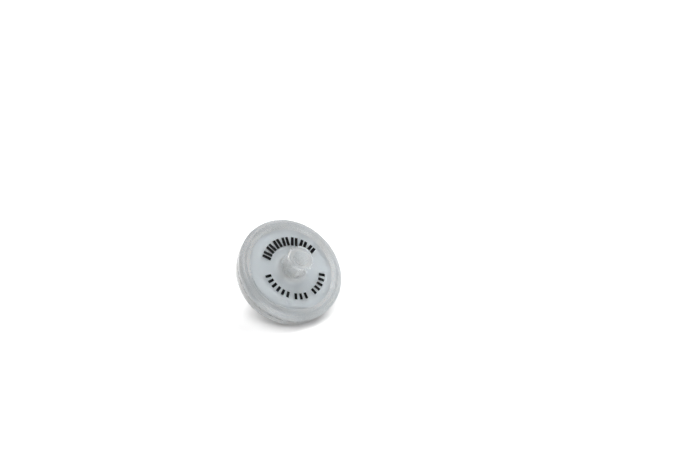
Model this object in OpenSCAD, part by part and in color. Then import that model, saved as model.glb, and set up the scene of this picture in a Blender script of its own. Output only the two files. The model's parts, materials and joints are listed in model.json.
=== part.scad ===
/* [Housing disc] */
// Outside diameter over the flange of the inlet half
flange_d = 31.2; // [30:0.2:36]
// Diameter of the flat printed face
face_d = 24.8; // [22:0.2:25.6]
// Height of the raised rim over the printed face
rim_h = 0.5; // [0.2:0.05:0.9]
// Width of the rim's flat top
rim_top_w = 1.05; // [0.8:0.05:1.3]
// Width of the bevel outside the rim's top
bevel_w = 1.05; // [0.6:0.05:1.2]
// Drop of the bevel from the rim's top to the flange's widest place
bevel_h = 0.85; // [0.6:0.05:1.2]
// Height of the lip at the flange's widest place
lip_h = 0.35; // [0.2:0.05:0.6]
// How far the inlet half's wall draws in from the lip to the weld
lip_step = 0.2; // [0.1:0.05:0.4]
// Depth of the weld between the two halves below the printed face
weld_depth = 2.55; // [2:0.05:2.9]
// Depth of the back edge below the printed face
body_depth = 5.6; // [5.3:0.1:8]
// How far the back edge stands back behind the lip
back_step = 0.6; // [0.3:0.05:0.8]
// Rounding of the back edge
back_edge_r = 0.5; // [0.3:0.05:0.8]
// Depth of the shallow dish in the back
back_dish = 0.3; // [0.1:0.05:0.4]
// Diameter of the shallow dish in the back
back_dish_d = 27.0; // [22:0.2:27.4]
// Chamfer on each side of the weld line
weld_chamfer = 0.12; // [0.05:0.01:0.2]
// Rounding of the rim's crown
rim_crown_r = 0.9; // [0.4:0.05:1]
// Rounding where the rim rises from the face
rim_foot_r = 0.3; // [0.1:0.05:0.6]
// Rounding of the lip's edges
lip_edge_r = 0.1; // [0.05:0.01:0.15]

/* [Walls and chamber] */
// Thickness of the wall behind the printed face
face_wall = 0.9; // [0.8:0.05:1]
// Diameter of the chamber that holds the prefilters
chamber_d = 25.0; // [22:0.1:25.2]
// How far the ring that clamps the membrane reaches past the membrane's pocket
clamp_lap = 0.4; // [0.2:0.05:0.6]
// Width of the flat ring at the chamber's edge that bears on the prefilters
bearing_w = 1.0; // [0.6:0.1:2]
// How far the inlet wall's underside rises from that ring to the middle
inlet_rise = 0.3; // [0.1:0.05:0.5]
// Height of the ribs that carry the membrane
support_rib_h = 0.6; // [0.4:0.05:0.7]
// Thickness of each rib
rib_w = 0.5; // [0.4:0.05:0.8]
// Radius at which the radial ribs start
rib_start_r = 2.2; // [1.8:0.1:3]
// Number of radial ribs under the membrane
rib_count = 12; // [6:1:16]
// Number of round ribs under the membrane
ring_count = 3; // [2:1:4]
// How far the outlet half's floor falls towards the nozzle
floor_fall = 0.3; // [0.1:0.05:0.4]
// Clearance between the clamping ring and the outlet half's wall
halves_gap = 0.05; // [0.03:0.01:0.1]

/* [Filter media] */
// How far the membrane reaches past the chamber, under the clamping ring
membrane_lap = 0.4; // [0.3:0.05:0.6]
// Thickness of the membrane
membrane_t = 0.15; // [0.1:0.01:0.2]
// Clearance around the membrane in its pocket
membrane_gap = 0.1; // [0.05:0.05:0.2]
// Thickness of the graded glass-fibre prefilter
graded_t = 1.9; // [1.4:0.05:1.95]
// Thickness of the fine glass-fibre prefilter
fine_t = 0.45; // [0.3:0.05:0.5]
// Clearance between the prefilters' edge and the clamping ring
media_gap = 0.1; // [0.05:0.05:0.3]

/* [Inlet hub] */
// Height of the hub's mouth above the printed face
hub_h = 8.0; // [7.4:0.05:8.4]
// Diameter of the hub's stem
stem_d = 6.73; // [6.4:0.01:6.8]
// Diameter of the foot where the stem stands on it
foot_top_d = 7.5; // [7.2:0.1:8]
// Diameter of the foot where it meets the face
foot_d = 10.4; // [9.4:0.1:11]
// Height of the foot
foot_h = 1.75; // [1.2:0.05:2.2]
// Diameter over the locking lugs
lug_d = 7.8; // [7.7:0.01:7.83]
// Distance from the mouth to the lugs
lug_from_mouth = 0.35; // [0.25:0.05:0.6]
// Height of a lug at its root
lug_root_h = 1.0; // [0.8:0.05:1.3]
// Height of a lug at its crest
lug_crest_h = 0.5; // [0.4:0.05:0.7]
// Angle that one lug spans
lug_span = 150; // [60:5:160]
// Angle of the first lug's middle from the disc's level line
lug_angle = 3; // [0:1:90]
// Diameter of the tapered socket at its mouth
socket_d = 4.3; // [4.27:0.005:4.315]
// Depth of the tapered socket
socket_depth = 7.5; // [7.4:0.1:7.8]
// Diameter of the port at the socket's foot
inlet_port_d = 1.8; // [1.2:0.1:2.4]
// Chamfer on the inner edge of the mouth
mouth_chamfer = 0.15; // [0.1:0.05:0.3]
// Rounding of the mouth's outer edge, the foot's step and the lugs' crests
hub_edge_r = 0.15; // [0.05:0.05:0.2]

/* [Outlet nozzle] */
// Diameter of the nozzle at its tip
tip_d = 3.98; // [3.93:0.01:3.99]
// Length of the tapered nozzle
nozzle_l = 9.6; // [7.5:0.1:11]
// Diameter of the boss where it meets the back
boss_d = 9.0; // [7:0.1:10]
// Diameter of the boss where the nozzle stands on it
boss_top_d = 5.6; // [5.4:0.1:6.4]
// Height of the boss
boss_h = 2.0; // [1:0.1:3]
// Diameter of the bore through the nozzle
nozzle_bore_d = 2.1; // [1.6:0.1:2.4]
// Rounding of the tip's edge
tip_edge_r = 0.2; // [0.1:0.05:0.4]

/* [Print] */
// Thickness of the ink
ink_t = 0.04; // [0.02:0.01:0.06]
// Radius of the circle that both rows of marks are centred on
print_r = 8.55; // [8:0.1:9.2]
// Shift of the print from the disc's centre along the level line
print_shift_x = 0.85; // [-1:0.05:1]
// Shift of the print from the disc's centre towards the top edge
print_shift_y = -0.2; // [-1:0.05:1]
// Height of a bold mark in the upper row
bold_h = 2.65; // [2:0.05:3]
// Width of a bold mark
bold_w = 0.85; // [0.3:0.05:0.9]
// Distance between the two marks of a bold pair, middle to middle
pair_w = 1.2; // [1:0.05:1.4]
// Number of pairs of bold marks
bold_pairs = 7; // [3:1:7]
// Angle from one pair of bold marks to the next
bold_angle = 18; // [16:0.5:20]
// Height of a small mark in the lower row
small_h = 1.85; // [1.2:0.05:2.4]
// Width of a small mark
small_w = 0.8; // [0.3:0.05:0.9]
// Angle from one small mark to the next
small_angle = 10.5; // [8:0.5:11.5]

/* [Hidden] */
$fn = 96;
disc_fn = 180;
arc_steps = 6;
// Cutters run this far past the faces they open
past = 1;
// Raised pieces start this far inside what carries them
root = 0.3;

// Standard taper of the socket and the nozzle, on the diameter
taper = 0.06;

// Radii of the disc
flange_r = flange_d / 2;
face_r = face_d / 2;
rim_out_r = flange_r - bevel_w;
rim_in_r = rim_out_r - rim_top_w;
weld_r = flange_r - lip_step;
back_r = flange_r - back_step;
chamber_r = chamber_d / 2;
membrane_r = chamber_r + membrane_lap;
pocket_r = membrane_r + membrane_gap;
clamp_r = pocket_r + clamp_lap;
cup_r = clamp_r + halves_gap;
media_r = chamber_r - media_gap;
bearing_r = chamber_r - bearing_w;
dish_r = back_dish_d / 2;

// Heights on the disc's axis. The printed face is at zero and the inlet is upwards.
lip_z = rim_h - bevel_h;
wall_z = -face_wall;
fine_z = wall_z - graded_t;
membrane_z = fine_z - fine_t;
support_z = membrane_z - membrane_t;
floor_z = support_z - support_rib_h;
floor_mid_z = floor_z - floor_fall;
dish_z = back_dish - body_depth;

// Hub
stem_r = stem_d / 2;
socket_r = socket_d / 2;
socket_end_r = socket_r - taper * socket_depth / 2;
socket_end_z = hub_h - socket_depth;
lug_top_z = hub_h - lug_from_mouth;
lug_mid_z = lug_top_z - lug_root_h / 2;

// Nozzle
tip_r = tip_d / 2;
boss_z = dish_z - boss_h;
tip_z = boss_z - nozzle_l;
nozzle_root_r = tip_r + taper * nozzle_l / 2;

// Ribs
ring_pitch = (chamber_r - rib_start_r) / (ring_count + 1);

// Print: the angle of the upper row's middle, and the middle's angle and the number of marks of
// each group in the lower row
upper_angle = 79.5;
lower_groups = [[203.5, 6], [256.5, 3], [308.5, 5]];

// Rest: the disc leans on its back edge and on the nozzle's tip. Both edges are round, so the
// floor touches two circles, and the lean follows from their centres and radii.
back_edge_c = [back_r - back_edge_r, back_edge_r - body_depth];
tip_edge_c = [tip_r - tip_edge_r, tip_z + tip_edge_r];
between = back_edge_c - tip_edge_c;
lean = atan2(between[0], between[1]) + asin((back_edge_r - tip_edge_r) / norm(between));
rest_h = tip_edge_r + tip_edge_c[0] * cos(lean) - tip_edge_c[1] * sin(lean);
// The origin lies under the middle of the leaning object
front_y = -flange_r * sin(lean) - lip_z * cos(lean);
back_y = back_edge_c[0] * sin(lean) - back_edge_c[1] * cos(lean) + back_edge_r;
rest_y = -(front_y + back_y) / 2;

// The outlet half's wall tapers from the weld into the back edge's rounding, and meets it at this angle
weld_corner = [weld_r, -weld_depth - weld_chamfer];
taper_run = weld_corner - back_edge_c;
wall_end = atan2(taper_run[1], taper_run[0]) - acos(back_edge_r / norm(taper_run));

// Points of an arc about c from angle a to angle b
function arc(c, r, a, b) = [for (i = [0:arc_steps])
    let (t = a + (b - a) * i / arc_steps)
    c + r * [cos(t), sin(t)]];

// Points of the rounding of corner q, which lies between p and s. Each is [x, y, radius].
function flat(p) = [p[0], p[1]];
function unit(v) = v / norm(v);
function rounding(p, q, s) = q[2] == 0 ? [flat(q)] :
    let (u = unit(flat(p - q)), v = unit(flat(s - q)), half = acos(u * v) / 2, turn = 180 - 2 * half)
    let (c = flat(q) + unit(u + v) * q[2] / sin(half), reach = q[2] / tan(half))
    let (from = flat(q) + u * reach - c, to = flat(q) + v * reach - c)
    [for (i = [0:arc_steps]) let (t = turn * i / arc_steps)
        c + (from * sin(turn - t) + to * sin(t)) / sin(turn)];

// Outline through corners that are each [x, y, radius]
function rounded(path) = let (n = len(path))
    [for (i = [0:n - 1]) each rounding(path[(i + n - 1) % n], path[i], path[(i + 1) % n])];

// Points of a hollow flare from radius r0 at z0 out to the wider radius r1 at z1, where it lies flat
function flare(r0, z0, r1, z1) = [for (i = [1:arc_steps])
    let (t = 90 * i / arc_steps)
    [r1 - (r1 - r0) * cos(t), z0 + (z1 - z0) * sin(t)]];

module rest_pose() {
    translate([0, rest_y, rest_h])
        rotate([90 - lean, 0, 0])
            children();
}

module turned(outline, turns_fn = disc_fn) {
    rotate_extrude($fn = turns_fn) polygon(outline);
}

module layer(r, low, high) {
    translate([0, 0, low]) cylinder(h = high - low, r = r, $fn = disc_fn);
}

module radial_ribs(low, high) {
    for (i = [0:rib_count - 1])
        rotate(i * 360 / rib_count)
            translate([rib_start_r, -rib_w / 2, low])
                cube([chamber_r + root - rib_start_r, rib_w, high - low]);
}

// Round ribs, notched between the radial ones so that the filtrate reaches the nozzle
module round_ribs(low, high) {
    difference() {
        for (i = [1:ring_count])
            translate([0, 0, low])
                difference() {
                    cylinder(h = high - low, r = rib_start_r + i * ring_pitch + rib_w / 2);
                    translate([0, 0, -past])
                        cylinder(h = high - low + 2 * past, r = rib_start_r + i * ring_pitch - rib_w / 2);
                }
        for (i = [0:rib_count - 1])
            rotate((i + 0.5) * 360 / rib_count)
                translate([0, -rib_w, low - past])
                    cube([chamber_r, 2 * rib_w, high - low + 2 * past]);
    }
}

// Half outline of the inlet half's disc, from the axis out over the top and back underneath
function inlet_outline() = rounded(concat(
    [[0, wall_z + inlet_rise, 0], [0, 0, 0], [face_r, 0, rim_foot_r]],
    [[rim_in_r, rim_h, rim_crown_r], [rim_out_r, rim_h, rim_crown_r]],
    [[flange_r, lip_z, lip_edge_r], [flange_r, lip_z - lip_h, lip_edge_r]],
    [[weld_r, weld_chamfer - weld_depth, 0]],
    [[weld_r - weld_chamfer, -weld_depth, 0], [clamp_r, -weld_depth, 0]],
    [[clamp_r, membrane_z, 0], [chamber_r, membrane_z, 0], [chamber_r, wall_z, 0]],
    [[bearing_r, wall_z, 0]]));

// Half outline of the hub, from the mouth down to the foot and back to the axis
function hub_outline() = concat(
    rounded([[0, hub_h, 0], [stem_r, hub_h, hub_edge_r], [stem_r, foot_h, 0],
        [foot_top_d / 2, foot_h, hub_edge_r], [foot_top_d / 2, foot_h - 2 * hub_edge_r, 0]]),
    flare(foot_top_d / 2, foot_h - 2 * hub_edge_r, foot_d / 2, 0),
    [[foot_d / 2, -root], [0, -root]]);

// A lug's flanks run on into the stem at the slope they have outside it
module lug() {
    flank = (lug_root_h - lug_crest_h) / 2 / (lug_d / 2 - stem_r);
    inner_h = lug_root_h / 2 + root * flank;
    rotate(-lug_span / 2)
        rotate_extrude(angle = lug_span, $fn = disc_fn)
            polygon(rounded([[stem_r - root, lug_mid_z - inner_h, 0],
                [lug_d / 2, lug_mid_z - lug_crest_h / 2, hub_edge_r],
                [lug_d / 2, lug_mid_z + lug_crest_h / 2, hub_edge_r],
                [stem_r - root, lug_mid_z + inner_h, 0]]));
}

// Tapered socket with its port, as the shape to cut out
module socket() {
    translate([0, 0, socket_end_z])
        cylinder(h = socket_depth + past, r1 = socket_end_r, r2 = socket_r + taper * past / 2);
    translate([0, 0, hub_h - mouth_chamfer - root])
        cylinder(h = mouth_chamfer + root + past, r1 = socket_r - root,
            r2 = socket_r + mouth_chamfer + past);
    translate([0, 0, wall_z - past])
        cylinder(h = socket_end_z - wall_z + 2 * past, d = inlet_port_d);
}

module inlet_housing() {
    color([0.86, 0.89, 0.9])
        rest_pose()
            difference() {
                union() {
                    turned(inlet_outline());
                    turned(hub_outline(), $fn);
                    for (turn = [0, 180]) rotate(lug_angle + turn) lug();
                }
                socket();
            }
}

// Half outline of the outlet half's disc, from the axis out over the floor and back underneath
function outlet_outline() = concat(
    [[0, floor_mid_z], [chamber_r, floor_z], [chamber_r, support_z], [pocket_r, support_z]],
    [[pocket_r, membrane_z], [cup_r, membrane_z], [cup_r, -weld_depth]],
    [[weld_r - weld_chamfer, -weld_depth], weld_corner],
    arc(back_edge_c, back_edge_r, wall_end, -90),
    [[dish_r, -body_depth], [dish_r - back_dish, dish_z], [0, dish_z]]);

// Half outline of the boss and nozzle, from the tip up to the boss and back to the axis
function nozzle_outline() = concat(
    [[0, tip_z]],
    arc(tip_edge_c, tip_edge_r, -90, 0),
    [[nozzle_root_r, boss_z], [boss_top_d / 2, boss_z]],
    flare(boss_top_d / 2, boss_z, boss_d / 2, dish_z),
    [[boss_d / 2, dish_z + root], [0, dish_z + root]]);

module outlet_housing() {
    color([0.83, 0.86, 0.88])
        rest_pose()
            difference() {
                union() {
                    turned(outlet_outline());
                    turned(nozzle_outline(), $fn);
                    radial_ribs(floor_mid_z, support_z);
                    round_ribs(floor_mid_z, support_z);
                }
                translate([0, 0, tip_z - past])
                    cylinder(h = floor_z - tip_z + 2 * past, d = nozzle_bore_d);
            }
}

module graded_prefilter() {
    color("white") rest_pose() layer(media_r, fine_z, wall_z);
}

module fine_prefilter() {
    color("whitesmoke") rest_pose() layer(media_r, membrane_z, fine_z);
}

module membrane() {
    color("ivory") rest_pose() layer(membrane_r, support_z, membrane_z);
}

module mark(at, w, h, side = 0) {
    rotate(at)
        translate([print_r - h / 2, side - w / 2, 0])
            cube([h, w, ink_t]);
}

module printed_marks() {
    color([0.08, 0.08, 0.09])
        rest_pose()
            translate([print_shift_x, print_shift_y, 0]) {
                for (i = [0:bold_pairs - 1], side = [-1, 1])
                    mark(upper_angle + (i - (bold_pairs - 1) / 2) * bold_angle, bold_w, bold_h,
                        side * pair_w / 2);
                for (group = lower_groups, i = [0:group[1] - 1])
                    mark(group[0] + (i - (group[1] - 1) / 2) * small_angle, small_w, small_h);
            }
}

inlet_housing();
outlet_housing();
graded_prefilter();
fine_prefilter();
membrane();
printed_marks();
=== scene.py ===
"""Looks of the syringe filter: milky moulded plastic over white filter media, on a pale floor."""

import json
import math

import bpy
from mathutils import Matrix, Vector


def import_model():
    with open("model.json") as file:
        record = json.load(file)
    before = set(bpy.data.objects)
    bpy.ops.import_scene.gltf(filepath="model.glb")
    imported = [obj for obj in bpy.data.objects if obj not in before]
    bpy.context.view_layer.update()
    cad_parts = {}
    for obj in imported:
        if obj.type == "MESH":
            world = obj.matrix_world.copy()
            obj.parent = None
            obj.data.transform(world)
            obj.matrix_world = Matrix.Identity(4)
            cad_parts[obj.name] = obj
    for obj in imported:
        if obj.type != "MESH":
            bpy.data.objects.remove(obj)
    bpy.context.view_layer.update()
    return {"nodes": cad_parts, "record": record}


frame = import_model()

MM = 0.001

# The disc's own axes, from the inlet Luer mount: z runs out of the inlet, and x is level
mounts = {m["name"]: m for m in frame["record"]["mounts"]}
axis = Vector(mounts["inlet_luer_socket"]["axis"])
mouth = Vector(mounts["inlet_luer_socket"]["pos_m"])
face_level = min(v.co.dot(axis) for v in frame["nodes"]["printed_marks"].data.vertices)
face_centre = mouth + (face_level - mouth.dot(axis)) * axis
level = Vector((1, 0, 0))
disc_axes = Matrix((level, axis.cross(level), axis))


# ---------------------------------------------------------------- node helpers
class Shader:
    """A material's node tree, with short calls for the nodes used here."""

    def __init__(self, name):
        self.material = bpy.data.materials.new(name)
        self.material.use_nodes = True
        self.tree = self.material.node_tree
        self.tree.nodes.clear()
        self.output = self.node("ShaderNodeOutputMaterial")

    def node(self, kind, inputs=None, **settings):
        made = self.tree.nodes.new(kind)
        for key, value in settings.items():
            setattr(made, key, value)
        for key, value in (inputs or {}).items():
            self.set(made.inputs[key], value)
        return made

    def set(self, socket, value):
        if isinstance(value, bpy.types.NodeSocket):
            self.tree.links.new(value, socket)
        else:
            socket.default_value = value

    def math(self, operation, a, b=0.0):
        return self.node("ShaderNodeMath", {0: a, 1: b}, operation=operation).outputs[0]

    def near(self, value, place, reach):
        """1 where the value lies within reach of the place, and 0 elsewhere."""
        inputs = {0: value, 1: place, 2: reach}
        return self.node("ShaderNodeMath", inputs, operation="COMPARE").outputs[0]

    def ramp(self, value, low, high, out_low=0.0, out_high=1.0):
        """A smooth step from out_low, where the value is low, to out_high, where it is high."""
        inputs = {"Value": value, "From Min": low, "From Max": high,
                  "To Min": out_low, "To Max": out_high}
        made = self.node("ShaderNodeMapRange", inputs, interpolation_type="SMOOTHSTEP")
        return made.outputs["Result"]

    def noise(self, vector, scale, detail, roughness=0.5):
        made = self.node("ShaderNodeTexNoise", {"Vector": vector, "Scale": scale, "Detail": detail,
                                                "Roughness": roughness})
        return made.outputs["Fac"]

    def mix(self, share, a, b):
        made = self.node("ShaderNodeMix", data_type="RGBA")
        self.set(made.inputs["Factor"], share)
        self.set(made.inputs["A"], a)
        self.set(made.inputs["B"], b)
        return made.outputs["Result"]

    def bump(self, height, strength, distance):
        inputs = {"Height": height, "Strength": strength, "Distance": distance}
        return self.node("ShaderNodeBump", inputs).outputs["Normal"]

    def position(self):
        return self.node("ShaderNodeTexCoord").outputs["Object"]

    def disc_place(self):
        """Position in the disc's own axes, in millimetres from the middle of the printed face."""
        shift = -(disc_axes @ face_centre) / MM
        turned = self.node("ShaderNodeMapping", {"Vector": self.position(), "Location": shift,
                                                 "Rotation": disc_axes.to_euler("XYZ"),
                                                 "Scale": (1 / MM,) * 3})
        return turned.outputs["Vector"]

    def radius_and_height(self, place):
        """How far a place in the disc's axes lies from the axis, and in front of the face."""
        x, y, z = self.node("ShaderNodeSeparateXYZ", {"Vector": place}).outputs
        squares = self.math("ADD", self.math("MULTIPLY", x, x), self.math("MULTIPLY", y, y))
        return self.math("SQRT", squares), z

    def surface(self, **inputs):
        made = self.node("ShaderNodeBsdfPrincipled")
        for key, value in inputs.items():
            self.set(made.inputs[key.replace("_", " ")], value)
        self.tree.links.new(made.outputs[0], self.output.inputs["Surface"])
        return self.material


def colour(r, g, b):
    return (r, g, b, 1.0)


# ---------------------------------------------------------------- materials
PLASTIC_TINT = colour(0.94, 0.955, 0.96)
PLASTIC_TINT_GAIN = 1.03    # the most that the cloudy variation lifts the tint
PLASTIC_IOR = 1.49
SCATTER_TINT = colour(0.84, 0.91, 0.98)
ABSORPTION_TINT = colour(0.80, 0.74, 0.20)
SCATTER_PER_MM = 0.65
SCATTER_FORWARD = 0.3

# The skin is a little rougher on the face than on the rim and the hub, and fine grain adds to it
FACE_ROUGHNESS, RAISED_ROUGHNESS, GRAIN_ROUGHNESS = 0.13, 0.07, 0.05
FACE_END, RAISED_START = 0.3, 0.8    # heights in mm between which the one turns into the other
SKIN_BUMP = 0.12
SKIN_BUMP_DEPTH = 0.02 * MM

# The printed face and the hub's flare are finely frosted: the shares of light they scatter at once
FACE_FROST, FLARE_FROST = 0.05, 0.08
FROSTED_ROUGHNESS = 0.3
FROSTED_TINT = colour(0.92, 0.955, 0.975)
FACE_REACH = 0.05    # mm to either side of the face's own level
FROST_FADE = (12.5, 12.7)    # radii in mm between which the frosting of the face ends
FLARE_HEIGHT, FLARE_HEIGHT_REACH = 0.75, 0.7
FLARE_RADIUS, FLARE_RADIUS_REACH = 4.55, 0.85


def milky_plastic(name):
    """Translucent polypropylene: a glossy skin over a body that scatters light, the blue most."""
    s = Shader(name)
    place = s.disc_place()
    radius, height = s.radius_and_height(place)
    grain = s.noise(place, 14.0, 3.0)
    cloud = s.noise(place, 0.35, 3.0)
    lifted = colour(*(PLASTIC_TINT_GAIN * c for c in PLASTIC_TINT[:3]))
    body_tint = s.mix(s.ramp(cloud, 0.35, 0.65), PLASTIC_TINT, lifted)

    on_face = s.math("MULTIPLY", s.near(height, 0.0, FACE_REACH), s.ramp(radius, *FROST_FADE, 1.0, 0.0))
    on_flare = s.math("MULTIPLY", s.near(height, FLARE_HEIGHT, FLARE_HEIGHT_REACH),
                      s.near(radius, FLARE_RADIUS, FLARE_RADIUS_REACH))
    frosted = s.math("MAXIMUM", on_face, on_flare)
    frost = s.math("ADD", s.math("MULTIPLY", on_face, FACE_FROST),
                   s.math("MULTIPLY", on_flare, FLARE_FROST))

    gloss = s.math("ADD", s.ramp(height, FACE_END, RAISED_START, FACE_ROUGHNESS, RAISED_ROUGHNESS),
                   s.ramp(grain, 0.3, 0.7, 0.0, GRAIN_ROUGHNESS))
    rough = s.math("MAXIMUM", gloss, s.math("MULTIPLY", frosted, FROSTED_ROUGHNESS))
    body = s.node("ShaderNodeVolumePrincipled", {"Color": SCATTER_TINT,
                                                 "Density": SCATTER_PER_MM / MM,
                                                 "Absorption Color": ABSORPTION_TINT,
                                                 "Anisotropy": SCATTER_FORWARD})
    s.tree.links.new(body.outputs[0], s.output.inputs["Volume"])
    return s.surface(Base_Color=s.mix(frosted, body_tint, FROSTED_TINT), Roughness=rough,
                     IOR=PLASTIC_IOR, Normal=s.bump(grain, SKIN_BUMP, SKIN_BUMP_DEPTH),
                     Transmission_Weight=s.math("SUBTRACT", 1.0, frost))


def ink():
    """Matt black pad-printed ink with a fine mottle."""
    s = Shader("ink")
    grain = s.noise(s.disc_place(), 9.0, 5.0)
    base = s.mix(s.ramp(grain, 0.35, 0.75), colour(0.002, 0.002, 0.002), colour(0.008, 0.008, 0.009))
    return s.surface(Base_Color=base, Roughness=s.ramp(grain, 0.3, 0.7, 0.5, 0.65), IOR=1.5,
                     Specular_IOR_Level=0.05, Normal=s.bump(grain, 0.2, 0.01 * MM))


def fibre(name, tint, shade, scale):
    """White filter media: strands that run mostly one way, of so many noise cells to a millimetre."""
    s = Shader(name)
    stretched = s.node("ShaderNodeMapping", {"Vector": s.disc_place(), "Scale": (1.0, 3.5, 1.0)})
    strands = s.noise(stretched.outputs["Vector"], scale, 6.0, 0.65)
    base = s.mix(s.ramp(strands, 0.3, 0.7), shade, tint)
    return s.surface(Base_Color=base, Roughness=0.9, IOR=1.4, Normal=s.bump(strands, 0.5, 0.05 * MM))


def pale_floor():
    s = Shader("pale_floor")
    cloud = s.noise(s.position(), 6.0, 2.0)
    base = s.mix(cloud, colour(0.90, 0.90, 0.90), colour(0.92, 0.92, 0.92))
    return s.surface(Base_Color=base, Roughness=0.9)


def dress(node, material):
    """Give a CAD node its material."""
    mesh = frame["nodes"][node].data
    mesh.materials.clear()
    mesh.materials.append(material)


dress("inlet_housing", milky_plastic("inlet_plastic"))
dress("outlet_housing", milky_plastic("outlet_plastic"))
dress("printed_marks", ink())
dress("graded_prefilter",
      fibre("glass_fibre", colour(0.80, 0.845, 0.88), colour(0.73, 0.775, 0.81), 3.0))
dress("fine_prefilter",
      fibre("fine_glass_fibre", colour(0.94, 0.94, 0.94), colour(0.88, 0.88, 0.88), 8.0))
dress("membrane",
      fibre("membrane_skin", colour(0.9, 0.89, 0.85), colour(0.86, 0.85, 0.81), 20.0))


# ---------------------------------------------------------------- floor, light and camera
FLOOR_HALF = 3.0
WORLD_STRENGTH = 0.05

# Name, azimuth, elevation, distance and size in metres, and power in watts
TABLE_LIGHTS = [
    ("table_left", -85, 60, 1.0, 1.0, 8.0),
    ("table_front", -36, 35, 1.0, 1.2, 9.6),
    ("table_right", 95, 55, 1.0, 1.0, 12.5),
]
DISC_LIGHTS = [
    ("key", 20, 78, 0.6, 0.4, 0.7),
    ("overhead", 0, 90, 0.8, 1.0, 5.2),
    ("right", 110, 35, 0.9, 1.4, 4.2),
    ("front", -20, 6, 0.9, 1.0, 8.4),
    ("low_right", 60, 8, 0.9, 1.0, 6.2),
    ("back", 160, 50, 0.9, 1.2, 2.5),
]

# The camera: where it stands from the middle of the printed face, and how far the view is shifted
CAMERA_AZIMUTH, CAMERA_ELEVATION, CAMERA_DISTANCE = -36.07, 27.61, 539.0 * MM
CAMERA_BESIDE, CAMERA_ABOVE = 14.29 * MM, 11.79 * MM
LENS, SENSOR = 100.0, 36.0
CLIP_START = 0.01
VOLUME_BOUNCES = 12


def floor():
    mesh = bpy.data.meshes.new("floor")
    half = FLOOR_HALF
    corners = [(-half, -half, 0), (half, -half, 0), (half, half, 0), (-half, half, 0)]
    mesh.from_pydata(corners, [], [(0, 1, 2, 3)])
    made = bpy.data.objects.new("floor", mesh)
    bpy.context.scene.collection.objects.link(made)
    mesh.materials.append(pale_floor())
    return made


def world(strength):
    made = bpy.data.worlds.new("studio")
    made.use_nodes = True
    background = made.node_tree.nodes["Background"]
    background.inputs["Color"].default_value = colour(1.0, 1.0, 1.0)
    background.inputs["Strength"].default_value = strength
    bpy.context.scene.world = made


def soft_light(name, azimuth, elevation, distance, size, power, only):
    """An area light aimed at the disc from the direction it stands in, for some objects only."""
    data = bpy.data.lights.new(name, "AREA")
    data.shape = "DISK"
    data.size = size
    data.energy = power
    made = bpy.data.objects.new(name, data)
    bpy.context.scene.collection.objects.link(made)
    away = direction(azimuth, elevation)
    made.location = face_centre + away * distance
    made.rotation_euler = away.to_track_quat("Z", "Y").to_euler()
    lit = bpy.data.collections.new(name + "_lit")
    for thing in only:
        lit.objects.link(thing)
    made.light_linking.receiver_collection = lit


def direction(azimuth, elevation):
    """Unit vector towards a place seen at that azimuth (0 is from -Y) and elevation, in degrees."""
    a, e = math.radians(azimuth), math.radians(elevation)
    return Vector((math.sin(a) * math.cos(e), -math.cos(a) * math.cos(e), math.sin(e)))


def camera():
    """It stands in front and to the left, looks down, and has the disc left of the frame's middle."""
    data = bpy.data.cameras.new("camera")
    data.lens = LENS
    data.sensor_width = SENSOR
    data.clip_start = CLIP_START
    made = bpy.data.objects.new("camera", data)
    bpy.context.scene.collection.objects.link(made)
    back = direction(CAMERA_AZIMUTH, CAMERA_ELEVATION)
    a = math.radians(CAMERA_AZIMUTH)
    right = Vector((math.cos(a), math.sin(a), 0))
    up = back.cross(right)
    made.location = face_centre + CAMERA_BESIDE * right + CAMERA_ABOVE * up + back * CAMERA_DISTANCE
    made.rotation_euler = Matrix((right, up, back)).transposed().to_euler()
    bpy.context.scene.camera = made


ground = floor()
world(WORLD_STRENGTH)
for light in TABLE_LIGHTS:
    soft_light(*light, only=[ground])
for light in DISC_LIGHTS:
    soft_light(*light, only=frame["nodes"].values())
camera()
bpy.context.scene.view_settings.view_transform = "Standard"
bpy.context.scene.cycles.volume_bounces = VOLUME_BOUNCES
